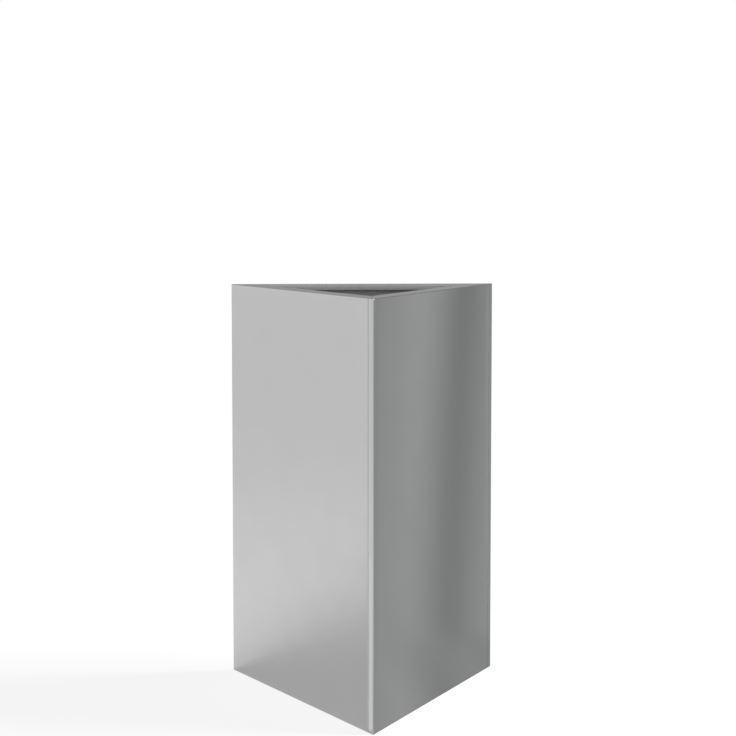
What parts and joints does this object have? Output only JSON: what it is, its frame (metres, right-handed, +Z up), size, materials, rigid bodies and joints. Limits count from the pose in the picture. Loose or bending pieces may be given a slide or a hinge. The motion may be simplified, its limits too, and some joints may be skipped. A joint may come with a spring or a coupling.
{
  "type": "triangular planter",
  "caption": "Tall floor planter with a triangular plan, folded from satin sheet steel, with a turned-in rim and a drained base tray.",
  "frame": {"origin": "on the ground, under the middle of the bounding box of the footprint", "axes": "+Z up; +Y towards the back wall, so the front corner points to -Y; +X to the right seen from the front corner"},
  "size_m": [0.5, 0.4334, 0.75],
  "materials": {
    "wall_steel": "satin stainless sheet",
    "tray_steel": "mill finish stainless sheet",
    "screw_steel": "bright turned stainless",
    "washer_steel": "tumbled stainless",
    "nut_steel": "tumbled stainless"
  },
  "bodies": {
    "root": {"left_wall": "wall_steel", "right_wall": "wall_steel", "back_wall": "wall_steel", "base_tray": "tray_steel", "front_seam_screws": "screw_steel", "left_seam_screws": "screw_steel", "right_seam_screws": "screw_steel", "tray_studs": "screw_steel", "front_seam_washers": "washer_steel", "left_seam_washers": "washer_steel", "right_seam_washers": "washer_steel", "tray_washers": "washer_steel", "front_seam_nuts": "nut_steel", "left_seam_nuts": "nut_steel", "right_seam_nuts": "nut_steel", "tray_nuts": "nut_steel"}
  },
  "joints": []
}
